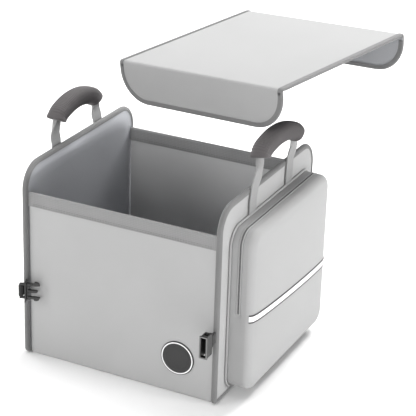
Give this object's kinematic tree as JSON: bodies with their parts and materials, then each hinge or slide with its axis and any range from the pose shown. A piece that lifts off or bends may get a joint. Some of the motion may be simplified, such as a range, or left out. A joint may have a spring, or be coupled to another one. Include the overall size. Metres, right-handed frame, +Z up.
{
  "type": "car trunk organizer",
  "caption": "Open fabric-covered storage box with a lifted-off flapped lid, two carrying handles, a zipped side pocket and a side-release buckle.",
  "frame": {"origin": "on the floor under the middle of the open box, on the underside of the bottom panel", "axes": "+Z up, +X towards the end with the zipped pocket, -Y towards the front panel with the round badge"},
  "size_m": [0.4925, 0.6513, 0.5246],
  "materials": {
    "panel_cloth": "smooth coated cloth over board",
    "lining_cloth": "smooth cloth over board",
    "edging_ribbon": "woven ribbon",
    "hem_ribbon": "woven ribbon",
    "webbing": "woven webbing",
    "grip_cloth": "ribbed cloth over padding",
    "pocket_cloth": "smooth moulded cloth",
    "piping": "smooth cord piping",
    "zip_tape": "woven tape",
    "zip_metal": "satin",
    "zip_pull": "matte",
    "reflective": "smooth reflective tape",
    "badge_rubber": "satin",
    "buckle_webbing": "woven webbing",
    "buckle_plastic": "moulded, slightly glossy"
  },
  "bodies": {
    "organizer": {"left_end_panel": "panel_cloth", "right_end_panel": "panel_cloth", "front_panel": "panel_cloth", "rear_panel": "panel_cloth", "left_end_edging": "edging_ribbon", "right_end_edging": "edging_ribbon", "front_hem_band": "hem_ribbon", "rear_hem_band": "hem_ribbon", "bottom_panel": "lining_cloth", "base_board": "lining_cloth", "lid_board": "panel_cloth", "lid_left_edging": "edging_ribbon", "lid_right_edging": "edging_ribbon", "lid_front_fold": "panel_cloth", "lid_rear_fold": "panel_cloth", "left_handle_strap": "webbing", "right_handle_strap": "webbing", "left_handle_grip": "grip_cloth", "right_handle_grip": "grip_cloth", "pocket_shell": "pocket_cloth", "pocket_piping": "piping", "zip_chain": "zip_tape", "reflective_stripe": "reflective", "badge_disc": "badge_rubber", "left_buckle_webbing": "buckle_webbing", "right_buckle_webbing": "buckle_webbing"},
    "front_flap": {"lid_front_flap": "panel_cloth", "lid_front_flap_edging": "edging_ribbon"},
    "rear_flap": {"lid_rear_flap": "panel_cloth", "lid_rear_flap_edging": "edging_ribbon"},
    "zip_carriage": {"zip_slider": "zip_metal"},
    "zip_tab": {"zip_pull": "zip_pull"},
    "plug": {"buckle_plug": "buckle_plastic"},
    "socket": {"buckle_socket": "buckle_plastic"}
  },
  "joints": [
    {"name": "front_flap_fold", "type": "hinge", "parent": "organizer", "child": "front_flap", "pos_m": [0.03608, 0.02438, 0.4934], "axis": [0.9737, -0.2102, 0.0877], "range_deg": [-90, 68], "deforming": ["lid_front_fold"]},
    {"name": "rear_flap_fold", "type": "hinge", "parent": "organizer", "child": "rear_flap", "pos_m": [0.11135, 0.3773, 0.50344], "axis": [0.9737, -0.2102, 0.0877], "range_deg": [-68, 90], "deforming": ["lid_rear_fold"]},
    {"name": "zip_travel", "type": "slide", "parent": "organizer", "child": "zip_carriage", "axis": [0, 0, 1], "range_m": [-0.025, 0.07]},
    {"name": "zip_pull_swing", "type": "hinge", "parent": "zip_carriage", "child": "zip_tab", "pos_m": [0.2061, 0.1726, 0.19], "axis": [1, 0, 0], "range_deg": [0, 165]},
    {"name": "plug_swing", "type": "hinge", "parent": "organizer", "child": "plug", "pos_m": [-0.1836, -0.203, 0.13], "axis": [0, 0, 1], "range_deg": [-190, 3]},
    {"name": "socket_swing", "type": "hinge", "parent": "organizer", "child": "socket", "pos_m": [0.1836, -0.203, 0.13], "axis": [0, 0, 1], "range_deg": [-82, 82]}
  ]
}
